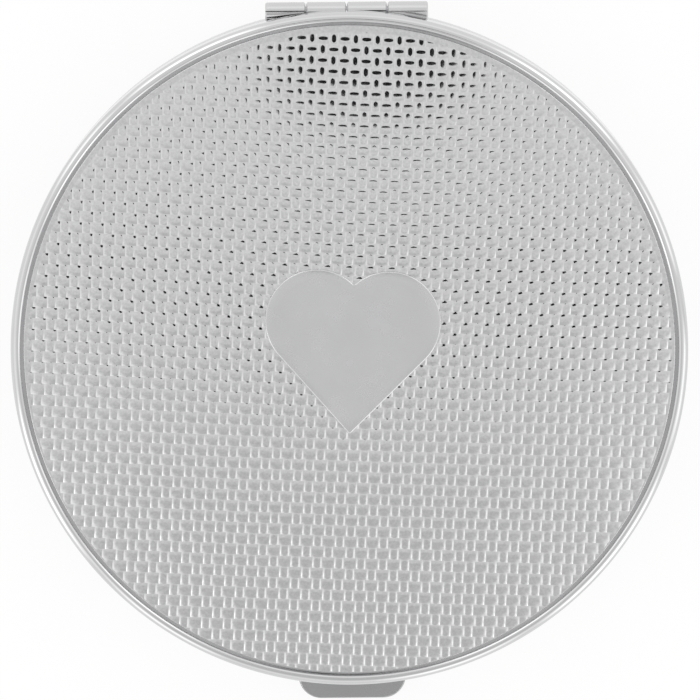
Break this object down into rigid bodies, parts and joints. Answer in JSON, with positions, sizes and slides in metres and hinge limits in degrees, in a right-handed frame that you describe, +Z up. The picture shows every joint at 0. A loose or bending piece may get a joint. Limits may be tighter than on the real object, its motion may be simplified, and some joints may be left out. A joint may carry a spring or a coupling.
{
  "type": "compact mirror",
  "caption": "Round folding pocket mirror in silver-toned metal: hinged lid with a domed basket-weave insert and a plain heart, mirrors inside, and a push tab that frees the latch.",
  "frame": {"origin": "middle of the flat underside", "axes": "+Z up through the lid, +Y towards the hinge, -Y towards the push tab, +X to the right seen from above with the tab nearest"},
  "size_m": [0.07, 0.0728, 0.0106],
  "materials": {
    "shell": "polished",
    "woven": "polished",
    "plaque": "satin",
    "hinge": "polished",
    "latch": "satin",
    "bezel": "polished",
    "mirror": "polished",
    "foam": "matte"
  },
  "bodies": {
    "base": {"base_shell": "shell", "base_mirror_pad": "foam", "base_mirror": "mirror", "base_bezel": "bezel", "base_hinge_leaf": "hinge", "hinge_pin": "latch", "latch_keeper": "latch", "latch_spring": "latch"},
    "lid": {"lid_shell": "shell", "insert_pad": "foam", "woven_insert": "woven", "heart_plaque": "plaque", "lid_mirror_pad": "foam", "lid_mirror": "mirror", "lid_bezel": "bezel", "lid_hinge_leaf": "hinge", "lid_strike": "latch"},
    "tab": {"push_tab": "shell", "catch_hook": "latch"}
  },
  "joints": [
    {"name": "lid_hinge", "type": "hinge", "parent": "base", "child": "lid", "pos_m": [0, 0.03466, 0.0044], "axis": [-1, 0, 0], "range_deg": [0, 180]},
    {"name": "tab_push", "type": "slide", "parent": "base", "child": "tab", "axis": [0, 1, 0], "range_m": [0, 0.0008], "stiffness_N_per_m": 1500, "springref_m": -0.0008, "deforming": ["latch_spring"]}
  ]
}
